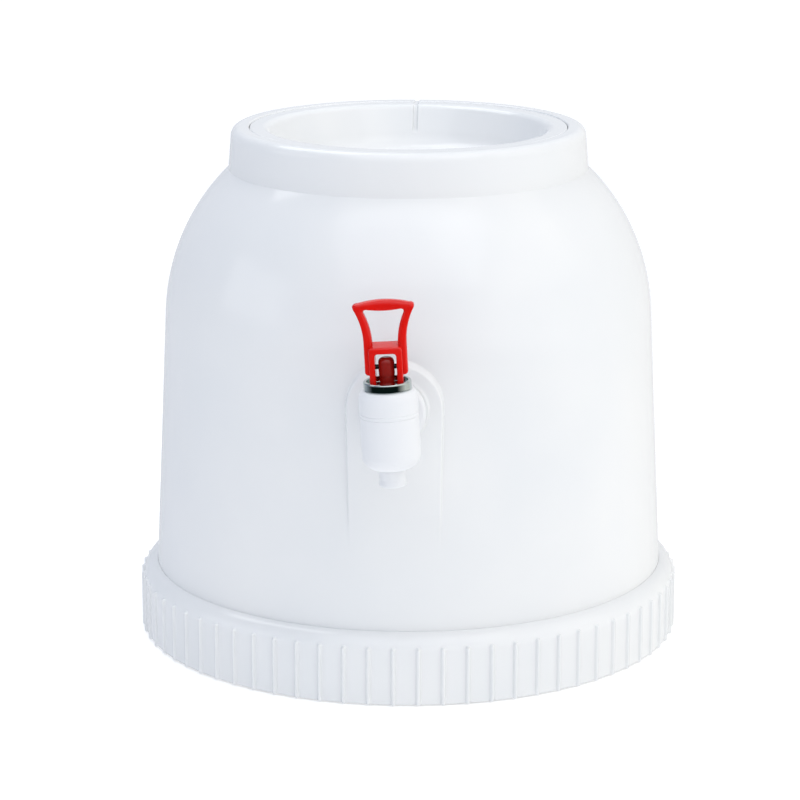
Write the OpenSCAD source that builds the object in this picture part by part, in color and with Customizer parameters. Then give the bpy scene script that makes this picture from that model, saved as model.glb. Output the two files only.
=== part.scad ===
// Countertop dispenser for an upturned water bottle: a domed body on a ribbed base, a lift-out bottle
// seat over an inner reservoir, and a lever tap. Millimetres, +Z up, tap towards -Y, and the origin on
// the table under the middle of the base.

/* [Body] */
// Height of the collar's top above the base's lower edge
body_h = 270; // [264:0.5:278]
// Outer radius of the body where it leaves the base
body_r = 136; // [132:0.5:139]
// Draft of the body's side, in degrees
body_draft = 2.93; // [2.5:0.01:3.3]
// Radius of the round shoulder, in section
shoulder_r = 111.2; // [109:0.1:114]
// Outer radius of the collar at its foot
collar_r = 94.7; // [93.5:0.1:96]
// Height of the collar above the shoulder
collar_h = 22.1; // [20:0.1:24]
// Rounding of the collar's top edge
collar_round = 4.6; // [3:0.1:5]
// Wall thickness of the body
wall = 2.8; // [2.4:0.1:3.2]

/* [Tap pad] */
// Half the width of the raised pad behind the tap
pad_half_w = 22.9; // [21:0.1:26]
// Height at which the tapered side grows out over the pad
pad_fade_z = 80; // [74:0.5:90]
// Slope of the pad's rim, in degrees
pad_slope = 24; // [15:1:35]

/* [Base] */
// Height of the base's top ledge above its lower edge
base_h = 36.5; // [34:0.5:40]
// How far the base stands out round the body, over its ribs
base_lip = 9; // [8:0.5:13]
// Rounding of the base's upper edge
base_round = 9; // [8:0.1:10]
// Number of upright grip ribs round the base
rib_n = 72; // [60:1:80]
// How far each rib stands out
rib_out = 1.4; // [1:0.1:1.8]
// Height of the ribs' straight part
rib_h = 30; // [26:0.5:31]
// How far the rubber ring lifts the base off the table
foot_proud = 0.8; // [0.5:0.1:1.5]

/* [Bottle seat] */
// Width of the rim from the collar's foot to the seat's mouth
rim_w = 22.7; // [21.7:0.1:24.7]
// Radius of the throat that takes the bottle's neck
throat_r = 31; // [29:0.5:33]
// Depth of the seat's bowl, rim to throat
bowl_d = 31; // [29:0.5:33]
// Length of the throat
throat_l = 52.5; // [48:0.5:56]
// Rounding of the bowl's mouth
mouth_round = 5; // [3:0.5:6]
// Width of the air groove at the back of the bowl
vent_w = 3; // [2:0.1:4]

/* [Reservoir] */
// Space between the body's foot and the reservoir
tank_gap = 24; // [22:0.5:27]
// Wall thickness of the reservoir
tank_wall = 2.5; // [2:0.1:3]
// Height of the reservoir's rim over the tap's shank
tank_rise = 48; // [44:0.5:50]

/* [Tap] */
// Height of the tap's shank over the base's lower edge
tap_h = 149.5; // [146:0.5:153]
// Lean of the tap about its shank, in degrees
tap_roll = 3; // [0:0.5:5]
// Distance from the flange's back to the tap's upright axis
tap_reach = 31.6; // [29:0.1:36]
// Radius of the tap's lower body
tap_r = 14.25; // [13.8:0.05:14.8]
// Radius of the tap's cap
cap_r = 14.2; // [13.8:0.05:14.4]
// Radius of the bright ring on the cap
ring_r = 11.6; // [11.4:0.05:12]
// Radius of the flange against the body
flange_r = 16; // [15:0.1:17]
// Radius of the shank through the body
shank_r = 9; // [8.5:0.1:9.4]
// Bore of the spout
spout_r = 4.2; // [3.8:0.1:4.4]
// Outside radius of the spout
spout_out_r = 6.3; // [6:0.05:6.6]

/* [Lever] */
// Height of the pivot pin over the shank
pin_z = 30.8; // [30.7:0.05:31.3]
// Height of the lever's top over the pin
lever_h = 32.8; // [31:0.1:36]
// Half the width of the lever's neck
neck_half_w = 10.35; // [10.2:0.05:10.6]
// Depth of the lever's hoop, front to back
hoop_d = 5.8; // [5:0.1:6.4]
// Radius of the pivot pin
pin_r = 1.2; // [1:0.05:1.4]
// Radius of the valve stem
stem_r = 3.85; // [3.7:0.01:3.9]

/* [Valve spring] */
// Wire radius of the spring
wire_r = 0.4; // [0.3:0.05:0.5]
// Mean radius of the spring
coil_r = 6.2; // [6:0.05:6.4]
// Number of turns in the spring
coil_n = 6; // [5:1:7]

/* [Fits] */
// Gap between pieces that lift apart
lift_gap = 0.5; // [0.4:0.05:0.7]
// Running gap of the pin in the lever
pin_gap = 0.05; // [0.03:0.01:0.08]
// Gap of fixed pieces that slip into each other
slip_gap = 0.05; // [0.03:0.01:0.1]

/* [Hidden] */
$fn = 96;

white = [0.93, 0.94, 0.95];
milky = [0.86, 0.87, 0.88];
rubber_grey = [0.16, 0.16, 0.17];
red = [0.80, 0.10, 0.07];
dark_red = [0.33, 0.08, 0.05];
steel = [0.62, 0.63, 0.65];

// Body side: a straight draft up to the point where the shoulder's arc begins
draft_t = tan(body_draft);
side_u = [-sin(body_draft), cos(body_draft)];
side_n = [cos(body_draft), sin(body_draft)];
collar_z = body_h - collar_h;
arc_c0 = [body_r, base_h] - shoulder_r * side_n;
arc_w = [collar_r, collar_z] - arc_c0;
arc_wu = arc_w * side_u;
arc_s = arc_wu - sqrt(arc_wu * arc_wu - arc_w * arc_w + shoulder_r * shoulder_r);
arc_c = arc_c0 + arc_s * side_u;
arc_p = arc_c + shoulder_r * side_n;
function side_r(z) = body_r - draft_t * (z - base_h);

// Collar: folded over at the top, with a turned-in ledge that carries the bottle seat
mouth_r = collar_r - rim_w;
collar_top_r = collar_r - (collar_h - collar_round) * 0.084;
collar_in_r = collar_top_r - wall + 0.4;
lip_r = mouth_r + 11.8;
lip_out_r = lip_r + 2.5;
ledge_z = body_h - 7.5;
ledge_r = mouth_r + 4;
seat_top = body_h - 0.4;
seal_h = 1;

// Base, which takes the body in its socket, and the reservoir that stands on its floor
base_r = body_r + base_lip;
tank_r = body_r - tank_gap;
tank_bevel = 1.5;
base_side_r = base_r - rib_out;
rib_r = 1;
skirt_t = 2.6;
socket_r = body_r + 0.4;
socket_t = 2.2;
floor_t = 3;
shell_z = 8;
floor_z = shell_z - floor_t;
boss_pcd_r = body_r - 10;
boss_r = 4.6;
screw_n = 6;
screw_r = 2;
screw_l = 20;
screw_tip = 2;
head_r = 4;
head_h = 2.4;
head_bevel = [0.8, 1];
slot_l = 4.4;
slot_w = 0.9;
slot_d = 1.2;
foot_in_r = tank_r - 4;
foot_out_r = tank_r + 2;

// Tap stack along the shank: flange, washer, body, reservoir boss, washer, nut
pad_r = side_r(pad_fade_z);
spot_y = pad_r + 0.15;
washer_t = 1.5;
flange_y = spot_y + washer_t;
tap_y = flange_y + tap_reach;
shell_in_y = spot_y - 7.9;
tank_in_y = tank_r - tank_wall - 2.5;
nut_t = 6;
shank_end_y = tank_in_y - washer_t - nut_t - 2.5;
boss_tap_r = flange_r + 0.6;
tank_z = tap_h - 18;

// Tap levels over the shank's axis
spout_end = -28.1;
body_low = -19.5;
body_fillet = 9;
body_top = 6.9;
cap_top = body_top + 12.9;
ring_top = cap_top + 4.3;
ring_floor = cap_top + 1.6;
spigot_low = cap_top - 4.8;
stem_flange_z = 1.8;
valve_z = -14;
valve_gap = 0.3;
cavity_r = tap_r - 3.05;
nozzle_collar_r = 7;
tap_floor = 7;
cap_skirt = 2.8;
cap_round = 2.6;
cap_drop = 4.4;
cap_lip = 2.3;
cap_line = 1.8;
cap_line_d = 0.25;
cap_in_r = 9.4;
spigot_r = 8.5;
recess_r = 10;

// Valve stem and its plug
stem_over = 4.7;
stem_round = 2.4;
stem_flange_r = 7.2;
stem_flange_t = 2;
groove_up = 1.5;
groove_half = 1;
groove_d = 0.75;
waist_d = 0.35;
waist_z = 0.6;
waist_l = 5;
waist_run = 1.1;
plug_cup = 3.2;

// Lever: hoop, window and fork
bar_w = 4.3;
hoop_arc_r = 34.6;
hoop_arc_z = 12;
window_arc_r = 36.4;
window_arc_z = 11;
window_low = 9;
top_bar = 4.7;
window_sag = 0.7;
window_corner = 1.8;
hoop_corner = 4.4;
hoop_inset = 2.4;
crown_rise = 1.55;
neck_low = -2.4;
neck_bevel = 1.2;
fork_half_w = 8;
fork_half_d = 5;
fork_gap = 5.15;
fork_top = 10;
fork_rise = 1.4;
fork_window = 6.9;
heel_r = 5;
toe_r = 1.3;
pin_short = 0.7;
leg_drop = pin_z - ring_floor - 0.3;

function arc_pts(c, r, a0, a1, n) =
    [for (i = [0:n]) let (a = a0 + (a1 - a0) * i / n) c + r * [cos(a), sin(a)]];
function blend(p, q, r, n) =
    [for (i = [0:n]) let (t = i / n) (1 - t) * (1 - t) * p + 2 * t * (1 - t) * q + t * t * r];
function mirrored(pts) = [for (i = [len(pts) - 1:-1:0]) [-pts[i][0], pts[i][1]]];

module lifted() translate([0, 0, foot_proud]) children();
module tap_frame() lifted() translate([0, -tap_y, tap_h]) rotate([0, -tap_roll, 0]) children();
module along_y() rotate([-90, 0, 0]) children();
module shank_frame() lifted() translate([0, 0, tap_h]) along_y() children();
module spread(n) for (i = [0:n - 1]) rotate([0, 0, 360 * i / n]) children();
module tube(r_out, r_in, z0, z1)
    translate([0, 0, z0]) rotate_extrude() translate([r_in, 0]) square([r_out - r_in, z1 - z0]);

// Half section of the body's outside
module body_outside() {
    polygon([[0, shell_z], [body_r, shell_z], [body_r, base_h], arc_p, [0, arc_p[1]]]);
    intersection() {
        translate(arc_c) circle(shoulder_r);
        translate([0, arc_p[1]]) square([body_r, collar_z - arc_p[1]]);
    }
    translate([0, arc_p[1]]) square([arc_c[0] + 20, collar_z - arc_p[1]]);
    polygon(concat([[0, collar_z], [collar_r, collar_z]],
                   arc_pts([collar_top_r - collar_round, body_h - collar_round], collar_round, 0, 90, 10),
                   [[0, body_h]]));
}

// Half section of the space inside the body, with the folded collar left standing
module body_inside() {
    in_p = arc_p - wall * side_n;
    neck_z = arc_c[1] + sqrt(pow(shoulder_r - wall, 2) - pow(collar_in_r - arc_c[0], 2));
    polygon([[0, shell_z - 1], [body_r - wall, shell_z - 1], [body_r - wall, base_h], in_p, [0, in_p[1]]]);
    intersection() {
        translate(arc_c) circle(shoulder_r - wall);
        translate([0, in_p[1]]) square([body_r, neck_z - in_p[1] + 2]);
    }
    translate([0, in_p[1] - 5]) square([collar_in_r, ledge_z - 3 - in_p[1] + 5]);
    translate([lip_out_r, ledge_z - 4]) square([collar_in_r - lip_out_r, body_h - wall - ledge_z + 4]);
    translate([0, ledge_z - 5]) square([ledge_r, 20]);
    translate([0, ledge_z]) square([lip_r, 20]);
}

// Arched pad behind the tap, with a sloped rim; its face follows the pad's upright cylinder
module tap_pad() {
    depth = 16;
    root = pad_half_w + depth * tan(pad_slope);
    intersection() {
        translate([0, 0, shell_z + 30]) cylinder(r = pad_r, h = tap_h + root - shell_z);
        union() {
            translate([0, -pad_r, tap_h]) along_y() cylinder(r1 = pad_half_w, r2 = root, h = depth);
            translate([0, 0, shell_z + 32]) linear_extrude(tap_h - shell_z - 32)
                polygon([[-pad_half_w, -pad_r], [pad_half_w, -pad_r],
                         [root, depth - pad_r], [-root, depth - pad_r]]);
        }
    }
}

// Upright post for a base screw, tied to the wall by a web
module screw_boss() {
    difference() {
        union() {
            translate([boss_pcd_r, 0, shell_z]) cylinder(r = boss_r, h = 32);
            translate([boss_pcd_r, -1.5, shell_z + 2]) cube([body_r - wall - boss_pcd_r + 1, 3, 24]);
        }
        translate([boss_pcd_r, 0, shell_z - 1]) cylinder(r = screw_r + slip_gap, h = 24);
    }
}

module body_shell() {
    color(white) lifted() difference() {
        union() {
            difference() {
                union() {
                    rotate_extrude() body_outside();
                    tap_pad();
                    translate([0, -spot_y, tap_h]) along_y() cylinder(r = boss_tap_r, h = 6);
                }
                rotate_extrude() body_inside();
            }
            translate([0, -spot_y + 4, tap_h]) along_y()
                cylinder(r = boss_tap_r + 1.5, h = spot_y - 4 - shell_in_y);
            spread(screw_n) screw_boss();
        }
        translate([0, -spot_y - 10, tap_h]) along_y()
            cylinder(r = shank_r + 0.2, h = spot_y - shell_in_y + 20);
        translate([-vent_w / 2, ledge_r, body_h - 1.2]) cube([vent_w, collar_r - ledge_r + 20, 5]);
    }
}

// Half section of the base's wall: outer skirt, rounded shoulder and the socket that takes the body
module base_section() {
    difference() {
        union() {
            translate([socket_r, 0]) square([base_side_r - socket_r, base_h - base_round]);
            intersection() {
                union() {
                    translate([base_side_r - base_round, base_h - base_round]) circle(base_round);
                    translate([0, base_h - base_round]) square([base_side_r - base_round, base_round]);
                }
                translate([socket_r, base_h - base_round]) square([base_side_r - socket_r, base_round]);
            }
            translate([0, floor_z]) square([socket_r + 1, floor_t]);
        }
        translate([socket_r + socket_t, -1])
            square([base_side_r - skirt_t - socket_r - socket_t, base_h - base_round + 2]);
        translate([socket_r - 1, -1]) square([socket_t + 2, floor_z + 1]);
    }
}

// One grip rib, round in section with a rounded top
module grip_rib() {
    translate([base_side_r + rib_out - rib_r, 0, 0]) rotate_extrude() {
        square([rib_r, rib_h - rib_r]);
        intersection() {
            translate([0, rib_h - rib_r]) circle(rib_r);
            square([rib_r, rib_h]);
        }
    }
}

module base_pan() {
    color(white) lifted() difference() {
        union() {
            rotate_extrude() base_section();
            spread(rib_n) rotate([0, 0, -90]) grip_rib();
            tube(foot_in_r, foot_in_r - 2, 0.6, floor_z + 0.5);
            tube(foot_out_r + 2, foot_out_r, 0.6, floor_z + 0.5);
            tube(14, 10, 1.6, floor_z + 0.5);
            spread(12) translate([12, -1.1, 2]) cube([foot_in_r - 13, 2.2, floor_z - 1.5]);
        }
        spread(screw_n) translate([boss_pcd_r, 0, 0]) cylinder(r = screw_r + 0.3, h = 20);
    }
}

module foot_ring() {
    color(rubber_grey) tube(foot_out_r - 0.1, foot_in_r + 0.1, 0, floor_z + foot_proud);
}

// Pan-head screws that hold the body down on the base's floor, driven from below
module base_screws() {
    color(steel) lifted() spread(screw_n) translate([boss_pcd_r, 0, 0]) difference() {
        rotate_extrude()
            polygon([[0, floor_z - head_h], [head_r - head_bevel[0], floor_z - head_h],
                     [head_r, floor_z - head_h + head_bevel[1]], [head_r, floor_z], [screw_r, floor_z],
                     [screw_r, floor_z + screw_l - screw_tip], [0, floor_z + screw_l]]);
        for (a = [0, 90]) rotate([0, 0, a])
            translate([-slot_l / 2, -slot_w / 2, floor_z - head_h - 1]) cube([slot_l, slot_w, slot_d + 1]);
    }
}

// Water pot standing on its own skirt inside the body
module reservoir() {
    rim_z = tap_h + tank_rise;
    color(milky) lifted() difference() {
        union() {
            difference() {
                union() {
                    rotate_extrude()
                        polygon([[0, shell_z], [tank_r, shell_z], [tank_r, rim_z - 4],
                                 [tank_r + 1.5, rim_z - 2.5], [tank_r + 1.5, rim_z], [0, rim_z]]);
                    translate([0, -shell_in_y, tap_h]) along_y()
                        cylinder(r = flange_r, h = shell_in_y - tank_r + 8);
                }
                translate([0, 0, tank_z]) rotate_extrude()
                    polygon([[0, 0], [tank_r - tank_wall - tank_bevel, 0], [tank_r - tank_wall, tank_bevel],
                             [tank_r - tank_wall, rim_z], [0, rim_z]]);
                translate([0, 0, shell_z - 1])
                    cylinder(r = tank_r - tank_wall, h = tank_z - tank_wall - shell_z + 1);
            }
            translate([0, -tank_r + 1, tap_h]) along_y() cylinder(r = flange_r, h = tank_r - 1 - tank_in_y);
        }
        translate([0, -shell_in_y - 5, tap_h]) along_y()
            cylinder(r = shank_r + 0.2, h = shell_in_y - tank_in_y + 15);
    }
}

// Dished ring that carries the bottle's shoulder, with a throat that guides its neck into the water
module bottle_seat() {
    t = 2.4;
    bowl_z = seat_top - bowl_d;
    wall_end = [mouth_r - 5.5, seat_top - 13.6];
    floor_in = [mouth_r - 13.5, seat_top - 21.8];
    corner = [mouth_r - 8.57, seat_top - 20.53];
    mouth = arc_pts([mouth_r + mouth_round, seat_top - mouth_round], mouth_round, 90, 150, 8);
    wall_run = mouth[8] - wall_end;
    color(white) lifted() difference() {
        rotate_extrude()
            polygon(concat(
                mouth, blend(wall_end, corner, floor_in, 10),
                [[throat_r + 3, bowl_z + 3], [throat_r, bowl_z], [throat_r, bowl_z - throat_l],
                 [throat_r + t, bowl_z - throat_l], [throat_r + t, bowl_z + 0.4]],
                blend([mouth_r - 13, seat_top - 24.4], [mouth_r - 7, seat_top - 22.8],
                      [mouth_r - 3, seat_top - 14.4], 10),
                [[mouth_r + 3.2, seat_top - t - 1.2], [mouth_r + mouth_round, seat_top - t],
                 [lip_r - 3.3, seat_top - t],
                 [lip_r - 3.3, ledge_z + seal_h], [lip_r - lift_gap, ledge_z + seal_h],
                 [lip_r - lift_gap, seat_top - 0.8], [lip_r - lift_gap - 0.8, seat_top]]));
        translate([0, mouth[8][0], mouth[8][1]]) rotate([-atan2(wall_run[0], wall_run[1]), 0, 0])
            translate([-vent_w / 2, -3, -norm(wall_run)]) cube([vent_w, 4.5, 30]);
        translate([-vent_w / 2, mouth_r - 2, seat_top - 0.8]) cube([vent_w, lip_r - mouth_r + 10, 5]);
    }
}

module seat_seal() {
    color(milky) lifted() tube(lip_r - lift_gap - 0.1, lip_r - 4, ledge_z, ledge_z + seal_h);
}

module outer_washer() {
    color(milky) shank_frame() tube(flange_r - 0.4, shank_r + 0.3, -flange_y, -spot_y);
}

module inner_washer() {
    color(milky) shank_frame() tube(flange_r - 1.5, shank_r + 0.3, -tank_in_y, -tank_in_y + washer_t);
}

module shank_nut() {
    color(white) shank_frame() translate([0, 0, -tank_in_y + washer_t]) difference() {
        cylinder(r = flange_r - 0.5, h = nut_t, $fn = 6);
        translate([0, 0, -1]) cylinder(r = shank_r + slip_gap, h = nut_t + 2);
    }
}

module tap_body() {
    color(white) tap_frame() difference() {
        union() {
            rotate_extrude()
                polygon(concat(
                    [[0, body_low]],
                    arc_pts([tap_r - body_fillet, body_low + body_fillet], body_fillet, -90, 0, 16),
                    [[tap_r, body_top], [0, body_top]]));
            along_y() cylinder(r = shank_r + 0.5, h = tap_reach - 1);
            along_y() rotate_extrude()
                polygon(concat([[0, tap_reach - 4]],
                               arc_pts([flange_r - 2.4, tap_reach - 1.6], 2.4, -90, 0, 8),
                               [[flange_r, tap_reach], [0, tap_reach]]));
            along_y() cylinder(r = shank_r, h = tap_y - shank_end_y);
        }
        translate([0, 0, body_top]) cylinder(r = cap_r + 0.3, h = cap_top);
        translate([0, 0, body_low + tap_floor]) cylinder(r = cavity_r, h = body_top - body_low);
        translate([0, 0, body_low - 2]) cylinder(r = nozzle_collar_r + slip_gap, h = tap_floor + 5);
        along_y() cylinder(r = shank_r - 3.5, h = tap_y);
    }
}

// Spout tube; its upper end is the valve's seat
module spout_nozzle() {
    shelf = body_low + 0.2;
    color(white) tap_frame() rotate_extrude()
        polygon([[spout_r, valve_z], [nozzle_collar_r, valve_z], [nozzle_collar_r, shelf],
                 [spout_out_r, shelf], [spout_out_r, spout_end + 3.2], [spout_out_r + 0.4, spout_end + 1],
                 [spout_out_r + 0.4, spout_end + 0.4], [spout_out_r + 0.1, spout_end], [spout_r, spout_end]]);
}

module tap_cap() {
    color(white) tap_frame() rotate_extrude()
        polygon(concat([[cavity_r - slip_gap, body_top - cap_skirt], [cavity_r - slip_gap, body_top],
                        [cap_r, body_top], [cap_r, body_top + cap_line - cap_line_d],
                        [cap_r - cap_line_d, body_top + cap_line],
                        [cap_r, body_top + cap_line + cap_line_d]],
                       [for (i = [0:8]) [cap_r - cap_round * (1 - cos(11.25 * i)),
                                          cap_top - cap_drop * (1 - sin(11.25 * i))]],
                       [[spigot_r + slip_gap, cap_top], [spigot_r + slip_gap, cap_top - cap_lip],
                        [cap_in_r, cap_top - cap_lip], [cap_in_r, body_top - cap_skirt]]));
}

// Bright ring with a recess in which the lever's feet rock
module bonnet_ring() {
    color(steel) tap_frame() rotate_extrude()
        polygon(concat([[stem_r + 1.2, spigot_low], [spigot_r, spigot_low], [spigot_r, cap_top]],
                       arc_pts([ring_r - 1, cap_top + 1], 1, -90, 0, 5),
                       arc_pts([ring_r - 1, ring_top - 1], 1, 0, 90, 5),
                       [[recess_r, ring_top], [recess_r, ring_floor], [stem_r + 0.4, ring_floor],
                        [stem_r + 0.4, ring_floor - 1.5], [stem_r + 1.2, ring_floor - 1.5]]));
}

// Points along the spring's wire, and the least gap between its turns
spring_low = stem_flange_z + wire_r + 0.1;
spring_high = spigot_low - wire_r - 0.1;
rings = 12;
spring_gap = (spring_high - spring_low) / coil_n - 2 * wire_r;
echo(least_gap_between_turns = spring_gap);

module stem_spring() {
    sides = 6;
    n = rings * coil_n;
    lead = atan2((spring_high - spring_low) / coil_n, 2 * PI * coil_r);
    pts = [for (i = [0:n], k = [0:sides - 1])
        let (a = 360 * i / rings, b = 360 * k / sides,
             z = spring_low + (spring_high - spring_low) * i / n,
             r = coil_r + wire_r * cos(b), up = wire_r * sin(b))
        [r * cos(a) + up * sin(lead) * sin(a), r * sin(a) - up * sin(lead) * cos(a), z + up * cos(lead)]];
    sleeve = [for (i = [0:n - 1], k = [0:sides - 1], h = [0, 1])
        let (p = i * sides + k, q = i * sides + (k + 1) % sides)
        h == 0 ? [p, p + sides, q] : [q, p + sides, q + sides]];
    cap_a = [for (k = [1:sides - 2]) [0, k, k + 1]];
    cap_b = [for (k = [1:sides - 2]) [n * sides, n * sides + k + 1, n * sides + k]];
    color(steel) tap_frame() polyhedron(points = pts, faces = concat(sleeve, cap_a, cap_b), convexity = 12);
}

// Rod from the valve plug up to the lever's pin, with the spring's flange and a seal groove
module valve_stem() {
    top = pin_z + stem_over;
    low = valve_z + valve_gap + plug_cup;
    groove = spigot_low + groove_up;
    waist = ring_floor + waist_z;
    color(dark_red) tap_frame() difference() {
        rotate_extrude()
            polygon(concat([[0, low], [stem_r, low], [stem_r, stem_flange_z - stem_flange_t],
                            [stem_flange_r, stem_flange_z - stem_flange_t], [stem_flange_r, stem_flange_z],
                            [stem_r, stem_flange_z], [stem_r, groove - groove_half],
                            [stem_r - groove_d, groove - groove_half],
                            [stem_r - groove_d, groove + groove_half], [stem_r, groove + groove_half],
                            [stem_r, waist], [stem_r - waist_d, waist + waist_run],
                            [stem_r - waist_d, waist + waist_l - waist_run], [stem_r, waist + waist_l]],
                           arc_pts([stem_r - stem_round, top - stem_round], stem_round, 0, 90, 8),
                           [[0, top]]));
        translate([-10, 0, pin_z]) rotate([0, 90, 0]) cylinder(r = pin_r + slip_gap, h = 20);
    }
}

// Soft plug on the stem's lower end; it closes on the spout's upper edge
module valve_plug() {
    low = valve_z + valve_gap;
    color(milky) tap_frame() rotate_extrude()
        polygon([[0, low], [nozzle_collar_r - 0.6, low],
                 [nozzle_collar_r - 0.6, low + plug_cup - 0.8], [stem_r + 1.4, low + plug_cup + 0.2],
                 [stem_r + 1.2, low + plug_cup + 3.8], [stem_r + slip_gap, low + plug_cup + 3.8],
                 [stem_r + slip_gap, low + plug_cup], [0, low + plug_cup]]);
}

module stem_seal() {
    color(rubber_grey) tap_frame() translate([0, 0, spigot_low + groove_up]) rotate_extrude()
        translate([stem_r + 0.1, 0]) circle(0.8);
}

module pivot_pin() {
    color(steel) tap_frame() translate([-neck_half_w + 0.1, 0, pin_z]) rotate([0, 90, 0])
        cylinder(r = pin_r, h = 2 * neck_half_w - 1);
}

// Lever outline, front view, about the pin: a hoop that swings outwards to a flat top
hoop_side_c = [neck_half_w + hoop_arc_r, hoop_arc_z];
window_c = [neck_half_w - bar_w + window_arc_r, window_arc_z];
shoulder_a = asin((lever_h - hoop_corner - hoop_arc_z) / hoop_arc_r);
hoop_top_end = hoop_side_c + hoop_arc_r * [-cos(shoulder_a), sin(shoulder_a)];
crown = [hoop_top_end[0] - hoop_inset, lever_h - crown_rise];
hoop_right = concat([[neck_half_w - neck_bevel, neck_low - neck_bevel], [neck_half_w, neck_low]],
                    arc_pts(hoop_side_c, hoop_arc_r, 180, 180 - shoulder_a, 14),
                    blend(hoop_top_end, [hoop_top_end[0] + 0.5 * hoop_inset, crown[1]], crown, 6));
crown_pts = [for (i = [1:11]) let (x = crown[0] * (1 - i / 6))
    [x, lever_h - (x * x) / crown[0] / crown[0] * crown_rise]];
window_top = lever_h - top_bar;
window_a = asin((window_top - window_corner - window_arc_z) / window_arc_r);
window_end = window_c + window_arc_r * [-cos(window_a), sin(window_a)];
window_in = window_end[0] - 0.78 * window_corner;
window_right = concat([[window_c[0] - window_arc_r, window_low]],
                      arc_pts(window_c, window_arc_r, 180, 180 - window_a, 12),
                      blend(window_end, [window_end[0] + 0.39 * window_corner, window_top],
                            [window_in, window_top], 5));
sag_pts = [for (i = [1:7]) let (x = window_in * (1 - i / 4))
    [x, window_top - (1 - (x * x) / window_in / window_in) * window_sag]];

module hoop() {
    rotate([90, 0, 0]) translate([0, 0, -hoop_d / 2]) linear_extrude(hoop_d) difference() {
        polygon(concat(hoop_right, crown_pts, mirrored(hoop_right)));
        polygon(concat(window_right, sag_pts, mirrored(window_right)));
        translate([-fork_gap, -10]) square([2 * fork_gap, fork_window + 10.7]);
    }
}

// Forked foot: two legs joined by a bar, whose rounded heels roll on the ring and raise the stem
module fork() {
    foot = -leg_drop;
    leg = concat([[-fork_half_d, fork_top]],
                 arc_pts([toe_r - fork_half_d, foot + toe_r], toe_r, 180, 270, 6),
                 arc_pts([fork_half_d - heel_r, foot + heel_r], heel_r, 270, 360, 12),
                 [[fork_half_d, fork_top + fork_rise]]);
    difference() {
        translate([-fork_half_w, 0, 0]) rotate([90, 0, 90]) linear_extrude(2 * fork_half_w) polygon(leg);
        translate([-fork_gap, -10, foot - 10]) cube([2 * fork_gap, 20, fork_window - foot + 10]);
    }
}

module lever() {
    color(red) tap_frame() translate([0, 0, pin_z]) difference() {
        union() {
            hoop();
            fork();
        }
        translate([-20, 0, 0]) rotate([0, 90, 0])
            cylinder(r = pin_r + pin_gap, h = 20 + neck_half_w - pin_short);
    }
}

body_shell();
base_pan();
foot_ring();
base_screws();
reservoir();
bottle_seat();
seat_seal();
outer_washer();
inner_washer();
shank_nut();
tap_body();
spout_nozzle();
tap_cap();
bonnet_ring();
stem_spring();
valve_stem();
valve_plug();
stem_seal();
pivot_pin();
lever();
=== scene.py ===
"""Looks of a countertop water bottle dispenser: each piece's surface and finish, over the CAD frame."""

import bmesh
import bpy
import numpy as np
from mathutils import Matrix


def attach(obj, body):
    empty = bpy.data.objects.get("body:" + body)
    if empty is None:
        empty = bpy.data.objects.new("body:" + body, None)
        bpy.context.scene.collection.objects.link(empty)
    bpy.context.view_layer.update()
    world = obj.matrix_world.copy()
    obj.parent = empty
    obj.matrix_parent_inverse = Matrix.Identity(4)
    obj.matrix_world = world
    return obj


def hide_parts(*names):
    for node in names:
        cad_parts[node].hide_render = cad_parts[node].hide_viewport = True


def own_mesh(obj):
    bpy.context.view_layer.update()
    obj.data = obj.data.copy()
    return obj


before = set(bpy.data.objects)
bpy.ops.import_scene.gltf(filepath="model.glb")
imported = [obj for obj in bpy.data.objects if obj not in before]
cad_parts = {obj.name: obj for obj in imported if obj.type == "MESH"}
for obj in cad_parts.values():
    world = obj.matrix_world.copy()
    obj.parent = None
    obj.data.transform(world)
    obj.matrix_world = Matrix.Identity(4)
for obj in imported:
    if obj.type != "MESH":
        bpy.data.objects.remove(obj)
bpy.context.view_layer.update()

# Base pan: one moulding in glossy white plastic, with 72 half-round grip ribs up its skirt, a socket for the
# body and radial stiffeners below. A turned profile whose outer wall is raised into the ribs.
LIFT = 0.8  # the rubber ring holds the base this far off the table, mm


def srgb(code):
    """Linear colour, with alpha, of an sRGB hex code."""
    c = np.array([int(code[i:i + 2], 16) for i in (1, 3, 5)]) / 255
    return (*np.where(c <= 0.04045, c / 12.92, ((c + 0.055) / 1.055) ** 2.4), 1.0)


def add(tree, kind, **sockets):
    """One new shader node with its named sockets set or linked; an underscore stands for a space."""
    node = tree.nodes.new("ShaderNode" + kind)
    for key, value in sockets.items():
        socket = node.inputs[key.replace("_", " ")]
        if isinstance(value, bpy.types.NodeSocket):
            tree.links.new(value, socket)
        else:
            socket.default_value = value
    return node


def noise(tree, size_mm, detail=2.0, stretch=(1, 1, 1)):
    """Value of a noise whose features are about size_mm across, longer by stretch along each axis."""
    place = add(tree, "Mapping", Vector=tree.nodes["coords"].outputs["Object"],
                Scale=tuple(1 / s for s in stretch))
    return add(tree, "TexNoise", Vector=place.outputs[0], Scale=1000 / size_mm, Detail=detail,
               Roughness=0.5).outputs[0]


def spread(tree, value, low, high):
    """Map a noise's usual span, 0.3 to 0.7, to the span from low to high."""
    return add(tree, "MapRange", Value=value, From_Min=0.3, From_Max=0.7, To_Min=low,
               To_Max=high).outputs[0]


def tint(tree, value, *stops):
    """Colour of a value by stops of (position, hex colour) in rising order."""
    ramp = add(tree, "ValToRGB", Fac=value)
    for _ in stops[2:]:
        ramp.color_ramp.elements.new(1.0)
    for element, (position, code) in zip(ramp.color_ramp.elements, stops):
        element.position, element.color = position, srgb(code)
    return ramp.outputs[0]


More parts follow.
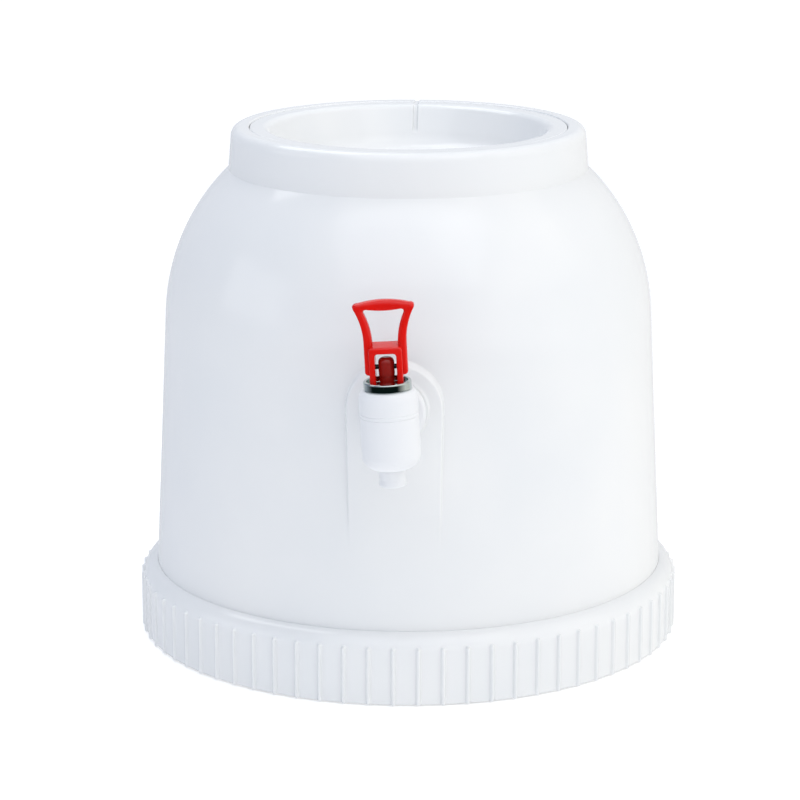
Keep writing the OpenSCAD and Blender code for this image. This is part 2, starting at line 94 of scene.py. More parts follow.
def material(name, colours, cloud_mm, rough, rough_mm, peel_mm, peel_um, stretch=(1, 1, 1), **sockets):
    """Principled finish: two close colours in clouds, a span of roughness in patches, and a fine relief."""
    made = bpy.data.materials.new(name)
    made.use_nodes = True
    tree = made.node_tree
    tree.nodes.clear()
    add(tree, "TexCoord").name = "coords"
    relief = add(tree, "Bump", Strength=1.0, Distance=peel_um * 1e-6,
                 Height=noise(tree, peel_mm, 3.0, stretch))
    colour = tint(tree, noise(tree, cloud_mm), (0.3, colours[0]), (0.7, colours[1]))
    shader = add(tree, "BsdfPrincipled", Base_Color=colour,
                 Roughness=spread(tree, noise(tree, rough_mm, 4.0, stretch), *rough),
                 Normal=relief.outputs[0], **sockets)
    add(tree, "OutputMaterial", Surface=shader.outputs[0])
    return made


def rounded(corners, radii, steps=6):
    """Path through corners, each replaced by the circular arc of its radius that touches both sides. A
    point a little before and after each arc keeps the straights flat under smooth shading."""
    p = np.asarray(corners, float)
    r = np.asarray(radii, float)[1:-1, None]
    u, v = p[:-2] - p[1:-1], p[2:] - p[1:-1]
    u /= np.linalg.norm(u, axis=1, keepdims=True)
    v /= np.linalg.norm(v, axis=1, keepdims=True)
    half = np.arccos(np.clip((u * v).sum(1, keepdims=True), -1, 1)) / 2
    reach = r / np.tan(half)
    mid = p[1:-1] + (u + v) / np.linalg.norm(u + v, axis=1, keepdims=True) * r / np.sin(half)
    a, b = p[1:-1] + u * reach - mid, p[1:-1] + v * reach - mid
    t = np.linspace(0, 1, steps + 1)[None, :, None]
    turn = (np.pi - 2 * half)[:, :, None]
    arc = mid[:, None] + (np.sin((1 - t) * turn) * a[:, None] + np.sin(t * turn) * b[:, None]) / np.sin(turn)
    ease = np.minimum(0.3 * r, 0.25) + 1e-4
    before, after = p[1:-1] + u * (reach + ease), p[1:-1] + v * (reach + ease)
    body = np.concatenate([before[:, None], arc, after[:, None]], 1).reshape(-1, 2)
    return np.concatenate([p[:1], body, p[-1:]])


def lathe(path, angles):
    """Path of (radius, height) turned about Z; angle 0 faces -Y and grows towards +X. Grid of points."""
    r, z = np.asarray(path).T
    a = np.asarray(angles)[:, None]
    return np.stack(np.broadcast_arrays(r * np.sin(a), -r * np.cos(a), z + LIFT), -1)


def smooth_max(a, b, k):
    """The larger of a and b, with a round fillet of reach k where they cross."""
    return np.maximum(a, b) + np.clip(k - np.abs(a - b), 0, None) ** 2 / (4 * k)


def bar(outer, inner, y0, y1, radius, count=7):
    """Bar between an outer and an inner line (x, z), from y0 to y1, with round edges of the radius: each
    station is a rectangle whose corners are quarter circles, and the ends are drawn to a point."""
    q = np.linspace(0, np.pi / 2, count)
    angle = np.concatenate([q, q + np.pi / 2, q + np.pi, q + 1.5 * np.pi])
    sx, sy = np.repeat([1, -1, -1, 1], count), np.repeat([1, 1, -1, -1], count)
    mid, half = (outer + inner) / 2, (outer - inner) / 2
    size = np.linalg.norm(half, axis=1, keepdims=True)
    deep = (y1 - y0)[:, None] / 2
    rad = np.minimum(radius, np.minimum(size, deep) * 0.98)
    flat = mid[:, None] + (half / size)[:, None] * (sx * (size - rad) + rad * np.cos(angle))[..., None]
    along = (y0 + y1)[:, None] / 2 + sy * (deep - rad) + rad * np.sin(angle)
    grid = np.stack([flat[..., 0], along, flat[..., 1]], -1)
    ends = np.broadcast_to(grid.mean(1, keepdims=True), grid.shape)
    return np.concatenate([ends[:1], grid, ends[-1:]])


def piece(name, grids, body, nodes, finish):
    """Mesh of grids of points in mm, each closed across its first, and where asked its second, direction;
    rings that shrink to a point become poles. It replaces the CAD nodes and rides on the body, and is
    returned."""
    points, quads, start = [], [], 0
    for grid, wrap_u, wrap_v in grids:
        nu, nv = grid.shape[:2]
        i = np.arange(nu if wrap_u else nu - 1)[:, None]
        j = np.arange(nv if wrap_v else nv - 1)[None, :]
        k, m = (i + 1) % nu, (j + 1) % nv
        quads.append(np.stack(np.broadcast_arrays(i * nv + j, k * nv + j, k * nv + m, i * nv + m), -1)
                     .reshape(-1, 4) + start)
        points.append(grid.reshape(-1, 3) / 1000)
        start += nu * nv
    mesh = bpy.data.meshes.new(name)
    mesh.from_pydata(np.concatenate(points).tolist(), [], np.concatenate(quads).tolist())
    shape = bmesh.new()
    shape.from_mesh(mesh)
    bmesh.ops.remove_doubles(shape, verts=shape.verts, dist=2e-7)
    bmesh.ops.recalc_face_normals(shape, faces=shape.faces)
    shape.to_mesh(mesh)
    shape.free()
    mesh.polygons.foreach_set("use_smooth", np.ones(len(mesh.polygons), bool))
    mesh.set_sharp_from_angle(angle=np.radians(50))
    mesh.materials.append(finish)
    made = bpy.data.objects.new(name, mesh)
    bpy.context.scene.collection.objects.link(made)
    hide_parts(*nodes)
    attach(made, body)
    return made


WHITE = material("White gloss plastic", ("#E9EBEC", "#EDEEEE"), 70, (0.10, 0.15), 24, 3.2, 1.6, IOR=1.5)

RIBS, RIB_C, RIB_TOP, RIB_FILLET = 72, 144.0, 29.0, 1.3
SIDE, ROUND, BASE_H, SOCKET, SOCKET_Z = 143.6, 9.0, 36.5, 136.04, 8.0
SKIRT_IN, POCKET_IN, POCKET_TOP, UNDER, HEM_R = 141.0, 138.6, 28.5, 5.0, 0.7  # the hollow underside, mm
CHANNEL, LIP_Z, HUB, HUB_Z = (116.0, 114.0, 108.0, 106.0), 0.6, (14.0, 10.0), 1.6
STAYS, STAY_W, STAY_TOP, STAY_LOW = 12, 2.2, 5.3, 2.0
columns = np.array([-1.9, -1.5, -1.2, -0.95, -0.6, 0, 0.6, 0.95, 1.2, 1.5, 1.9, np.pi * RIB_C / RIBS])
rib_angles = (np.arange(RIBS)[:, None] * 2 * np.pi / RIBS + columns / RIB_C).ravel()
inner_z = BASE_H - ROUND + np.sqrt(ROUND ** 2 - (SOCKET - SIDE + ROUND) ** 2)
socket_path = rounded([(0, SOCKET_Z), (SOCKET, SOCKET_Z), (SOCKET, inner_z), (SOCKET + 3, inner_z)],
                      [0, 0.4, 0.12, 0], 4)
tilt = np.linspace(np.arcsin((SOCKET + 0.4 - SIDE + ROUND) / ROUND), np.arccos(3.6 / ROUND), 10)
shoulder = np.stack([SIDE - ROUND + ROUND * np.sin(tilt), BASE_H - ROUND + ROUND * np.cos(tilt)], 1)
skirt_z = np.concatenate([np.linspace(30.9, 28.5, 12), [27.5, 22, 15, 8, 2.4, 2 * HEM_R]])
skirt_r = SIDE - ROUND + np.sqrt(ROUND ** 2 - np.clip(skirt_z - BASE_H + ROUND, 0, None) ** 2)
hem = rounded([(SIDE, 2 * HEM_R), (SIDE, 0), (SKIRT_IN, 0), (SKIRT_IN, 2 * HEM_R)], [0, HEM_R, HEM_R, 0], 4)
under = [(SKIRT_IN, POCKET_TOP), (POCKET_IN, POCKET_TOP), (POCKET_IN, UNDER), (CHANNEL[0], UNDER),
         (CHANNEL[0], LIP_Z), (CHANNEL[1], LIP_Z), (CHANNEL[1], UNDER), (CHANNEL[2], UNDER),
         (CHANNEL[2], LIP_Z), (CHANNEL[3], LIP_Z), (CHANNEL[3], UNDER), (HUB[0], UNDER), (HUB[0], HUB_Z),
         (HUB[1], HUB_Z), (HUB[1], UNDER), (0, UNDER)]
base_path = np.concatenate([socket_path[:-2], shoulder, np.stack([skirt_r, skirt_z], 1), hem[1:], under])
base_grid = lathe(base_path, rib_angles)
plain, z = base_path.T[:, None]
apart = np.hypot(np.tile(columns, RIBS)[:, None], np.clip(z - RIB_TOP, 0, None))
bulge = np.where(apart < 1, np.sqrt(np.clip(1 - apart ** 2, 0, None)), 4 * (1 - apart))
rib = RIB_C + bulge - 0.6 * np.clip(HEM_R - z, 0, None) ** 2
ribbed = (plain > SKIRT_IN + 1) & (z < RIB_TOP + 2)
grown = np.where(ribbed, smooth_max(plain, rib, RIB_FILLET), plain)
base_grid[..., :2] *= (grown / np.maximum(plain, 1e-6))[..., None]
stay_r = np.array([HUB[0] - 1, HUB[0], 60.0, CHANNEL[3], CHANNEL[3] + 0.8])
ones = np.ones(len(stay_r))
stay = bar(np.stack([stay_r, STAY_TOP * ones], 1), np.stack([stay_r, STAY_LOW * ones], 1),
           -STAY_W / 2 * ones, STAY_W / 2 * ones, 0.3, 3) + [0, 0, LIFT]
turns = [np.array([[np.cos(a), np.sin(a), 0], [-np.sin(a), np.cos(a), 0], [0, 0, 1]])
         for a in np.arange(STAYS) * 2 * np.pi / STAYS]
piece("base_pan_moulding", [(base_grid, True, False)] + [(stay @ turn, False, True) for turn in turns],
      "housing", ["base_pan"], WHITE)

# Body shell: the tapered, round-shouldered white moulding with its folded collar, arched tap pad and air
# notch. A turned skin whose front is raised to the pad by distance from its outline; screwed to the base.
BODY_R, DRAFT, ARC_R, COLLAR_R, COLLAR_Z, TOP = 136.0, np.radians(2.93), 111.2, 94.7, 247.9, 270.0
COLLAR_TOP_R, COLLAR_IN, FOLD_R, FOLD_TOP = 92.86, 83.65, 90.83, 267.2
LEDGE_R, LEDGE_Z, LEDGE_LOW, WELL_R = 76.0, 262.5, 259.5, 86.3  # the ledge under the seat's ring, mm
WALL, PAD_W, PAD_SLOPE, PAD_FOOT, TAP_Z, FLANGE_R = 2.8, 22.9, np.radians(24), 80.0, 149.5, 16.0
SPOT_RISE, NOTCH_HALF, NOTCH_DEEP = 0.15, 1.5, 1.2
side_u, side_n = np.array([-np.sin(DRAFT), np.cos(DRAFT)]), np.array([np.cos(DRAFT), np.sin(DRAFT)])
arc_0 = np.array([BODY_R, BASE_H]) - ARC_R * side_n
arc_w = np.array([COLLAR_R, COLLAR_Z]) - arc_0
arc_c = arc_0 + (arc_w @ side_u - np.sqrt((arc_w @ side_u) ** 2 - arc_w @ arc_w + ARC_R ** 2)) * side_u
arc_z = (arc_c + ARC_R * side_n)[1]


def body_r(z, wall=0.0):
    """Radius of the body's side at height z, less a wall: a straight draft, then the shoulder's circle."""
    straight = BODY_R - wall / np.cos(DRAFT) - np.tan(DRAFT) * (z - BASE_H)
    arc = arc_c[0] + np.sqrt(np.clip((ARC_R - wall) ** 2 - (z - arc_c[1]) ** 2, 0, None))
    return np.where(z < BASE_H, BODY_R - wall, np.where(z < arc_z, straight, arc))


def step(t):
    """Smooth step from 0 to 1 as t goes from 0 to 1."""
    t = np.clip(t, 0, 1)
    return t * t * (3 - 2 * t)


out_z = np.concatenate([[SOCKET_Z + 0.8, 20, BASE_H], np.linspace(40, 78, 8), np.linspace(80, 137, 16),
                        np.arange(138, 177.5, 0.5), np.linspace(178, 247.0, 40)])
collar = rounded([(body_r(247.0), 247.0), (COLLAR_R, COLLAR_Z), (COLLAR_TOP_R, TOP), (COLLAR_IN, TOP),
                  (COLLAR_IN, LEDGE_Z), (LEDGE_R, LEDGE_Z), (LEDGE_R, LEDGE_LOW), (WELL_R, LEDGE_LOW),
                  (WELL_R, FOLD_TOP), (FOLD_R, FOLD_TOP), (FOLD_R, COLLAR_Z + 0.3),
                  (body_r(246.0, WALL), 246.0)],
                 [0, 0.7, 4.6, 0.9, 0.3, 0.6, 0.6, 0.3, 0.4, 0.4, 0.8, 0], 6)
in_z = np.linspace(245.0, SOCKET_Z + 2, 16)
foot = rounded([(BODY_R - WALL, SOCKET_Z + 2), (BODY_R - WALL, SOCKET_Z), (BODY_R, SOCKET_Z),
                (BODY_R, SOCKET_Z + 0.8)], [0, 0.4, 0.4, 0], 3)
body_path = np.concatenate([np.stack([body_r(out_z), out_z], 1), collar[1:],
                            np.stack([body_r(in_z, WALL), in_z], 1), foot[1:-1]])
front = np.radians(np.concatenate([np.arange(-12.6, 12.61, 0.18), np.arange(14, 178.1, 2.0),
                                   np.arange(178.5, 181.51, 0.1), np.arange(182, 346.5, 2.0)]))
body_grid = lathe(body_path, front)
rows = np.arange(len(out_z))
r, z, a = body_path[rows, 0][None, :], out_z[None, :], front[:, None]
near = np.cos(a) > 0.9
x = np.where(near, r * np.sin(a), 99)
pad_r = body_r(np.array(PAD_FOOT))
edge = np.where(z > TAP_Z, np.hypot(x, z - TAP_Z), np.abs(x)) - PAD_W
ramp = -smooth_max(-pad_r, edge / np.tan(PAD_SLOPE) - pad_r, 0.7)
pad = np.where(z > PAD_FOOT - 18, smooth_max(r, ramp, 0.4), r)
spot = step((FLANGE_R + 1.4 - np.hypot(x, z - TAP_Z)) / 1.4)
pad = pad + spot * ((pad_r + SPOT_RISE) / np.cos(np.where(near, a, 0)) - pad)
body_grid[:, rows, :2] *= np.where(near, pad / r, 1)[..., None]
notch = step((NOTCH_HALF - np.abs(body_grid[..., 0])) / 0.5) * (body_grid[..., 1] > LEDGE_R - 2)
cut = np.minimum(body_grid[..., 2], TOP + LIFT - NOTCH_DEEP * notch)
body_grid[..., 2] = np.where(notch > 0, cut, body_grid[..., 2])
piece("body_moulding", [(body_grid, True, True)], "housing", ["body_shell"], WHITE)

# Foot ring, screws and reservoir: a black rubber band pressed in the base's channel, plated screws with a
# cross slot, and a milky polypropylene pot. Their CAD solids are right, so they only take a finish.
RUBBER = material("Black rubber", ("#1B1B1C", "#262627"), 18, (0.55, 0.75), 6, 0.7, 14, IOR=1.52)
SCREW = material("Zinc-plated screw", ("#9AA0A2", "#B9BCB8"), 3, (0.30, 0.42), 1.2, 0.35, 3, Metallic=1.0)
TANK = material("Milky polypropylene", ("#DDE1E2", "#E8EAEA"), 55, (0.34, 0.48), 16, 1.4, 5,
                IOR=1.49, Subsurface_Weight=0.35, Subsurface_Scale=0.004)


def finish(node, made):
    """Give a CAD node that keeps its own shape its finish."""
    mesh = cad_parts[node].data
    mesh.materials.clear()
    mesh.materials.append(made)


finish("foot_ring", RUBBER)
finish("base_screws", SCREW)
finish("reservoir", TANK)

# Bottle seat and its seal: the white dished insert with a rolled mouth, a long throat and an air groove at
# its back, turned and then pressed in along the groove; it lies loose on a silicone ring.
SILICONE = material("Clear silicone", ("#D9DBDA", "#E4E5E2"), 12, (0.30, 0.45), 5, 0.8, 4,
                    IOR=1.41, Subsurface_Weight=0.3, Subsurface_Scale=0.002)
SEAT_TOP, MOUTH_R, MOUTH_ROUND = TOP - 0.4, 72.0, 5.0
THROAT_R, THROAT_OUT, THROAT_END = 31.0, 33.4, 186.1
RIM_R, RIM_IN, RIM_LOW, RIM_UNDER = 83.4, 80.5, 263.5, 267.2
GROOVE_HALF, GROOVE_DEEP, GROOVE_SUNK, GROOVE_LOW = 1.5, 1.7, 0.8, 255.4
t = np.linspace(0, 1, 13)[:, None]
wall_end, corner, floor_in = np.array([66.5, 256.0]), np.array([63.43, 249.07]), np.array([58.5, 247.8])
dish = (1 - t) ** 2 * wall_end + 2 * t * (1 - t) * corner + t ** 2 * floor_in
back_a, back_b, back_c = np.array([59.0, 245.2]), np.array([65.0, 246.8]), np.array([69.0, 255.2])
back = (1 - t) ** 2 * back_a + 2 * t * (1 - t) * back_b + t ** 2 * back_c
roll = np.radians(np.linspace(90, 150, 14))
mouth = np.stack([MOUTH_R + MOUTH_ROUND * (1 + np.cos(roll)), SEAT_TOP - MOUTH_ROUND * (1 - np.sin(roll))], 1)
slope = mouth[-1] + np.linspace(0, 1, 16)[1:-1, None] * (wall_end - mouth[-1])
throat = rounded([floor_in, (34, 241.6), (THROAT_R, 238.6), (THROAT_R, THROAT_END),
                  (THROAT_OUT, THROAT_END), (THROAT_OUT, 239.0), back_a], [0, 1.2, 1.5, 0.6, 0.6, 1.0, 0], 5)
rim = rounded([back_c, (75.2, 266.0), (77, RIM_UNDER), (RIM_IN, RIM_UNDER), (RIM_IN, RIM_LOW),
               (RIM_R, RIM_LOW), (RIM_R, SEAT_TOP), mouth[0]], [0, 0.8, 0.8, 0.4, 0.4, 0.4, 0.9, 0], 5)
seat_path = np.concatenate([mouth, slope, dish, throat[1:-1], back, rim[1:-1]])
seat_angles = np.radians(np.concatenate([np.arange(0, 177.2, 1.5), np.arange(177.4, 182.61, 0.1),
                                         np.arange(183, 360, 1.5)]))
seat_grid = lathe(seat_path, seat_angles)
groove = step((GROOVE_HALF - np.abs(seat_grid[..., 0])) / 0.6) * (seat_grid[..., 1] > 0)
r, z = seat_path.T
inside = np.arange(len(r)) < len(mouth) + len(slope)
depth = GROOVE_DEEP * step((z - GROOVE_LOW) / 1.2) * step((76.5 - r) / 3) * inside
seat_grid[..., :2] *= (1 + groove * depth / np.maximum(r, 1))[..., None]
sunk = np.minimum(seat_grid[..., 2], SEAT_TOP + LIFT - GROOVE_SUNK * groove)
seat_grid[..., 2] = np.where(r > MOUTH_R - 2, sunk, seat_grid[..., 2])
piece("bottle_seat_dish", [(seat_grid, True, True)], "bottle_seat", ["bottle_seat"], WHITE)
finish("seat_seal", SILICONE)

# Tap body: white acetal, a round pot with a deep bottom fillet, a barrel and flange that seat against the
# body on a soft washer, and a shank through it. Two turned forms; the nut clamps them from inside.
TAP_WHITE = material("White acetal", ("#E9EBED", "#ECEDEF"), 30, (0.30, 0.37), 12, 2.4, 0.9, IOR=1.48)
LEAN, REACH, SHANK_R, POT_R = np.radians(3.0), 31.6, 9.0, 14.25
POT_LOW, POT_TOP = -19.5, 6.9  # levels over the shank's axis, mm
POT_IN, SPOUT_HOLE, BARREL_R, FLANGE_T, SHANK_END, SHANK_BORE = 11.2, 7.05, 9.5, 4.0, 70.0, 5.5
WASHER, BARREL_IN = 1.5, 8.0
tap_y = float(pad_r) + SPOT_RISE + WASHER + REACH


def in_tap(points):
    """Points about the tap's shank, leant by the tap's roll about Y and moved out to its place."""
    x, y, z = np.moveaxis(points, -1, 0)
    return np.stack([x * np.cos(LEAN) - z * np.sin(LEAN), y - tap_y,
                     x * np.sin(LEAN) + z * np.cos(LEAN) + TAP_Z + LIFT], -1)


def tap_lathe(path, count=96):
    """Path of (radius, height) turned about the tap's upright axis."""
    return in_tap(lathe(path, np.arange(count) * 2 * np.pi / count) - [0, 0, LIFT])


def shank_lathe(path, count=96):
    """Path of (radius, distance back along the shank) turned about the tap's shank."""
    grid = lathe(path, np.arange(count) * 2 * np.pi / count) - [0, 0, LIFT]
    return in_tap(grid[..., [0, 2, 1]] * [1, 1, -1])


floor_z = POT_LOW + 7
pot = rounded([(0, floor_z - 0.1), (SPOUT_HOLE, floor_z - 0.1), (SPOUT_HOLE, POT_LOW), (POT_R, POT_LOW),
               (POT_R, POT_TOP), (POT_IN, POT_TOP), (POT_IN, floor_z), (0, floor_z)],
              [0, 0.04, 0.3, 7.1, 0.3, 0.3, 0.3, 0], 14)
barrel = rounded([(0, BARREL_IN), (BARREL_R, BARREL_IN), (BARREL_R, REACH - FLANGE_T),
                  (FLANGE_R, REACH - FLANGE_T), (FLANGE_R, REACH), (SHANK_R, REACH), (SHANK_R, SHANK_END),
                  (SHANK_BORE, SHANK_END), (SHANK_BORE, BARREL_IN + 0.2), (0, BARREL_IN + 0.2)],
                 [0, 0.05, 1.6, 2.2, 0.3, 0.2, 0.8, 0.3, 0.05, 0], 8)
piece("tap_pot_and_shank", [(tap_lathe(pot, 128), True, False), (shank_lathe(barrel), True, False)],
      "housing", ["tap_body"], TAP_WHITE)
finish("outer_washer", SILICONE)
finish("inner_washer", SILICONE)
finish("shank_nut", TAP_WHITE)

# Spout nozzle: a white acetal tube with a small bead at its mouth, whose upper edge is the valve's seat.
# Turned, and pressed up into the hole in the pot's floor.
SPOUT_R, SPOUT_OUT, SPOUT_END, PRESS_R, VALVE = 4.2, 6.3, -28.1, 7.0, -14.0
shelf, seam = POT_LOW + 0.2, -16.5
nozzle = rounded([(SPOUT_R, seam), (SPOUT_R, SPOUT_END), (SPOUT_OUT + 0.1, SPOUT_END),
                  (SPOUT_OUT + 0.4, SPOUT_END + 0.8), (SPOUT_OUT, SPOUT_END + 3.2), (SPOUT_OUT, shelf),
                  (PRESS_R, shelf), (PRESS_R, VALVE), (SPOUT_R, VALVE), (SPOUT_R, seam)],
                 [0, 0.35, 0.3, 0.4, 1.2, 0.2, 0.2, 0.2, 0.2, 0], 5)
piece("spout_tube", [(tap_lathe(nozzle[:-1], 72), True, True)], "housing", ["spout_nozzle"],
      TAP_WHITE)

# Cap and bright ring: a white cap screwed on the pot, with a fine line round it, and a dark-chromed ring on
# it, recessed for the lever's feet. Both turned, with broken edges.
CHROME = material("Dark chrome", ("#AEB8B6", "#C2CAC8"), 5, (0.03, 0.08), 2.5, 0.5, 0.4,
                  stretch=(4, 4, 0.6), Metallic=1.0)
CAP_R, CAP_TOP, CAP_LOW, CAP_PLUG, CAP_IN, CAP_HOLE = 14.2, POT_TOP + 12.9, POT_TOP - 2.8, 11.15, 9.4, 8.55
LINE_Z, LINE_HALF, LINE_DEEP, CAP_SIDE, CAP_DROP = POT_TOP + 1.8, 0.25, 0.25, 2.6, 4.4
RING_R, RECESS_R, SPIGOT_R, SEAL_R, STEM_HOLE = 11.6, 10.0, 8.5, 5.05, 4.25
RING_TOP, RING_FLOOR, SPIGOT = CAP_TOP + 4.3, CAP_TOP + 1.6, CAP_TOP - 4.8
cap_low = rounded([(CAP_PLUG, CAP_LOW), (CAP_PLUG, POT_TOP), (CAP_R, POT_TOP), (CAP_R, LINE_Z - LINE_HALF),
                   (CAP_R - LINE_DEEP, LINE_Z), (CAP_R, LINE_Z + LINE_HALF), (CAP_R, POT_TOP + 6)],
                  [0, 0.2, 0.25, 0.1, 0.1, 0.1, 0], 5)
quarter = np.linspace(0, np.pi / 2, 15)
cap_top = np.stack([CAP_R - CAP_SIDE * (1 - np.cos(quarter)), CAP_TOP - CAP_DROP * (1 - np.sin(quarter))], 1)
cap_in = rounded([cap_top[-1], (CAP_HOLE, CAP_TOP), (CAP_HOLE, CAP_TOP - 2.3), (CAP_IN, CAP_TOP - 2.3),
                  (CAP_IN, CAP_LOW), (CAP_PLUG, CAP_LOW)], [0, 0.2, 0.2, 0.2, 0.2, 0], 5)
cap = np.concatenate([cap_low, cap_top, cap_in[1:]])
piece("tap_cap_turned", [(tap_lathe(cap[:-1], 128), True, True)], "housing", ["tap_cap"],
      TAP_WHITE)
ring = rounded([(SEAL_R, SPIGOT + 1.5), (SEAL_R, SPIGOT), (SPIGOT_R, SPIGOT), (SPIGOT_R, CAP_TOP),
                (RING_R, CAP_TOP), (RING_R, RING_TOP), (RECESS_R, RING_TOP), (RECESS_R, RING_FLOOR),
                (STEM_HOLE, RING_FLOOR), (STEM_HOLE, RING_FLOOR - 1.5), (SEAL_R, RING_FLOOR - 1.5),
                (SEAL_R, SPIGOT + 1.5)], [0, 0.3, 0.3, 0.1, 0.6, 0.7, 0.3, 0.3, 0.3, 0.1, 0.1, 0], 7)
piece("bright_ring", [(tap_lathe(ring[:-1], 128), True, True)], "housing", ["bonnet_ring"],
      CHROME)

# Valve: a dark red stem through the ring, its rounded head on the pivot pin, with a silicone plug, a
# rubber seal and a wire return spring. The stem is turned and the spring is a swept coil; the rest keep their
# CAD solids.
STEM = material("Dark red acetal", ("#8A1510", "#9B1B13"), 6, (0.18, 0.26), 3, 0.8, 1.2, IOR=1.48)
SPRING = material("Spring wire", ("#8C8F92", "#A8AAAA"), 2, (0.16, 0.26), 0.8, 0.25, 1.5, Metallic=1.0)
PIN = material("Blackened pin steel", ("#2B2C2D", "#3A3B3C"), 2, (0.16, 0.26), 0.8, 0.2, 1.0,
               stretch=(0.3, 3, 3), Metallic=1.0)
PIN_Z, STEM_R, COIL_Z, STEM_FLANGE, SEAL_IN, WAIST_R, HEAD = 30.8, 3.85, 1.8, 7.2, 3.1, 3.5, 4.7
waist, seal = RING_FLOOR + 0.6, SPIGOT + 1.5
stem = rounded([(0, VALVE + 3.5), (STEM_R, VALVE + 3.5), (STEM_R, COIL_Z - 2), (STEM_FLANGE, COIL_Z - 2),
                (STEM_FLANGE, COIL_Z), (STEM_R, COIL_Z), (STEM_R, seal - 1), (SEAL_IN, seal - 1),
                (SEAL_IN, seal + 1), (STEM_R, seal + 1), (STEM_R, waist), (WAIST_R, waist + 1.1),
                (WAIST_R, waist + 3.9), (STEM_R, waist + 5), (STEM_R, PIN_Z + HEAD), (0, PIN_Z + HEAD)],
               [0, 0.4, 0.2, 0.3, 0.3, 0.2, 0.1, 0.1, 0.1, 0.1, 0.6, 0.6, 0.6, 0.6, 2.4, 0], 6)
piece("stem_rod", [(tap_lathe(stem, 72), True, False)], "stem", ["valve_stem"], STEM)
finish("valve_plug", SILICONE)
finish("stem_seal", RUBBER)
finish("pivot_pin", PIN)
WIRE, COIL_R, TURNS, STROKE = 0.4, 6.2, 6, 1.588
coil_low, coil_high = COIL_Z + WIRE + 0.1, SPIGOT - WIRE - 0.1
a, b = np.linspace(0, 2 * np.pi * TURNS, 30 * TURNS + 1)[:, None], np.linspace(0, 2 * np.pi, 11)[:-1]
r, rise = COIL_R + WIRE * np.cos(b), coil_low + (coil_high - coil_low) * a / a[-1] + WIRE * np.sin(b)
wire = np.stack(np.broadcast_arrays(r * np.sin(a), -r * np.cos(a), rise), -1)
wire_ends = np.broadcast_to(wire.mean(1, keepdims=True), wire.shape)
coil = np.concatenate([wire_ends[:1], wire, wire_ends[-1:]])
spring = piece("return_spring", [(in_tap(coil), False, True)], "housing", ["stem_spring"],
               SPRING)
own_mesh(spring)

# Lever: glossy red moulding, a hoop of nearly round bars that swings out to a flat crown, on a fork whose
# legs straddle the stem. Two closed sweeps of a rounded bar between an outer and an inner line.
RED = material("Red gloss plastic", ("#D50B04", "#DC1208"), 14, (0.12, 0.20), 5, 1.5, 1.0, IOR=1.46)
H, NECK, HOOP_D, BAR_W = 32.8, 10.35, 5.8, 4.3  # heights and half widths about the pin, mm
HOOP_ARC, WINDOW_ARC, SHOULDER, WINDOW_TOP, SAG, CROWN = 34.6, 36.4, 28.4, 28.1, 0.7, 1.55
HOOP_LOW, HOOP_TIP, NECK_Z = -3.6, 1.2, 11
tip = np.linspace(0, np.pi / 2, 5)
side_z = np.concatenate([HOOP_LOW + HOOP_TIP * (1 - np.cos(tip)), [-1.0, 2, 5, 8],
                         np.linspace(NECK_Z, WINDOW_TOP - 1.8, 16)])
tuck = np.concatenate([HOOP_TIP * (1 - np.sin(tip)), np.zeros(len(side_z) - len(tip))])
stretch = (SHOULDER - NECK_Z) / (side_z[-1] - NECK_Z)
outer_z = np.where(side_z < NECK_Z, side_z, NECK_Z + (side_z - NECK_Z) * stretch)
outer_x = NECK + HOOP_ARC - np.sqrt(HOOP_ARC ** 2 - np.clip(outer_z - NECK_Z - 1, 0, None) ** 2)
inner_x = NECK - BAR_W + WINDOW_ARC - np.sqrt(WINDOW_ARC ** 2 - np.clip(side_z - NECK_Z, 0, None) ** 2)
t = np.linspace(0, 1, 9)[1:, None]
hoop_end, crown = np.array([outer_x[-1], SHOULDER]), np.array([outer_x[-1] - 2.4, H - CROWN])
outer_corner = (1 - t) ** 2 * hoop_end + 2 * t * (1 - t) * (crown + [3.6, 0]) + t ** 2 * crown
window_end = np.array([inner_x[-1], WINDOW_TOP - 1.8])
window_in = np.array([window_end[0] - 1.4, WINDOW_TOP])
inner_corner = (1 - t) ** 2 * window_end + 2 * t * (1 - t) * (window_in + [2.1, 0]) + t ** 2 * window_in
s = np.linspace(1, 0, 10)[1:, None]
outer_top = np.concatenate([crown[0] * s, H - CROWN * s ** 2], 1)
inner_top = np.concatenate([window_in[0] * s, WINDOW_TOP - SAG * (1 - s ** 2)], 1)
outer_half = np.concatenate([np.stack([outer_x - tuck, outer_z], 1), outer_corner, outer_top])
inner_half = np.concatenate([np.stack([inner_x + tuck, side_z], 1), inner_corner, inner_top])
flip = np.array([-1, 1])
outer_line = np.concatenate([outer_half, outer_half[-2::-1] * flip])
inner_line = np.concatenate([inner_half, inner_half[-2::-1] * flip])
thick = np.full(len(outer_line), HOOP_D / 2)
hoop = bar(outer_line, inner_line, -thick, thick, 1.9)

